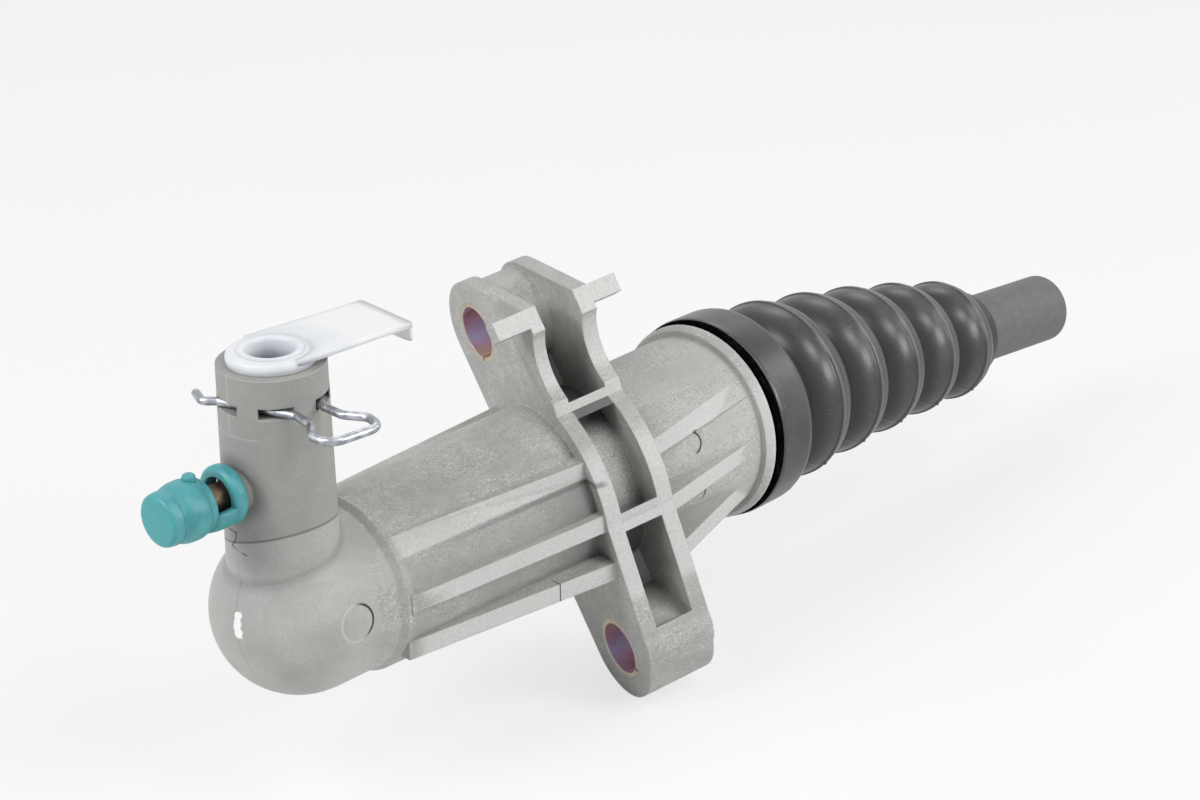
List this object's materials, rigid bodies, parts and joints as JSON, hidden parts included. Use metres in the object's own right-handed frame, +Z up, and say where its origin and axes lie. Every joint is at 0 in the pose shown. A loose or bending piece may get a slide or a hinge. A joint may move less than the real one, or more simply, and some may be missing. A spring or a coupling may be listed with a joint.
{
  "type": "clutch slave cylinder",
  "caption": "Moulded clutch slave cylinder with a slanted bolt flange, port tower, bleed screw, piston, push rod and bellows boot.",
  "frame": {"origin": "where the bore's axis meets the plane of the flange's bolt head seats, midway between the two bolt holes", "axes": "+X along the bore from the closed dome to the push rod, +Z up the port tower"},
  "size_m": [0.208, 0.0499, 0.0715],
  "materials": {
    "body_nylon": "moulded",
    "sleeve_steel": "yellow zinc",
    "wire_steel": "drawn",
    "plug_plastic": "translucent",
    "cap_rubber": "moulded",
    "seal_rubber": "moulded",
    "boot_rubber": "soft sheen",
    "piston_plastic": "moulded",
    "rod_plastic": "moulded",
    "screw_metal": "dark"
  },
  "bodies": {
    "cylinder": {"cylinder_body": "body_nylon", "bolt_sleeve_upper": "sleeve_steel", "bolt_sleeve_lower": "sleeve_steel", "port_seal": "seal_rubber", "stop_ring": "wire_steel", "preload_spring": "wire_steel", "dust_boot": "boot_rubber"},
    "clip": {"port_clip": "wire_steel"},
    "plug": {"transit_plug": "plug_plastic"},
    "cap": {"bleed_cap": "cap_rubber"},
    "bleeder": {"bleed_screw": "screw_metal"},
    "piston": {"piston": "piston_plastic", "piston_seal": "seal_rubber", "piston_guide": "plug_plastic"},
    "rod": {"push_rod": "rod_plastic"}
  },
  "joints": [
    {"name": "piston_slide", "type": "slide", "parent": "cylinder", "child": "piston", "axis": [1, 0, 0], "range_m": [-0.022, 0], "deforming": ["preload_spring", "dust_boot"]},
    {"name": "rod_tilt", "type": "hinge", "parent": "piston", "child": "rod", "pos_m": [0.031, 0, 0], "axis": [0, 1, 0], "range_deg": [-10, 0], "deforming": ["dust_boot"]},
    {"name": "plug_pull", "type": "slide", "parent": "cylinder", "child": "plug", "axis": [0, 0, 1], "range_m": [0, 0.03]},
    {"name": "cap_pull", "type": "slide", "parent": "bleeder", "child": "cap", "axis": [-1, 0, 0], "range_m": [0, 0.02]},
    {"name": "clip_pull", "type": "slide", "parent": "cylinder", "child": "clip", "axis": [-0.0941, -0.9956, 0], "range_m": [0, 0.003]},
    {"name": "bleed_turn", "type": "hinge", "parent": "cylinder", "child": "bleeder", "pos_m": [-0.062, 0, 0.0219], "axis": [-1, 0, 0], "range_deg": [0, 360]}
  ]
}
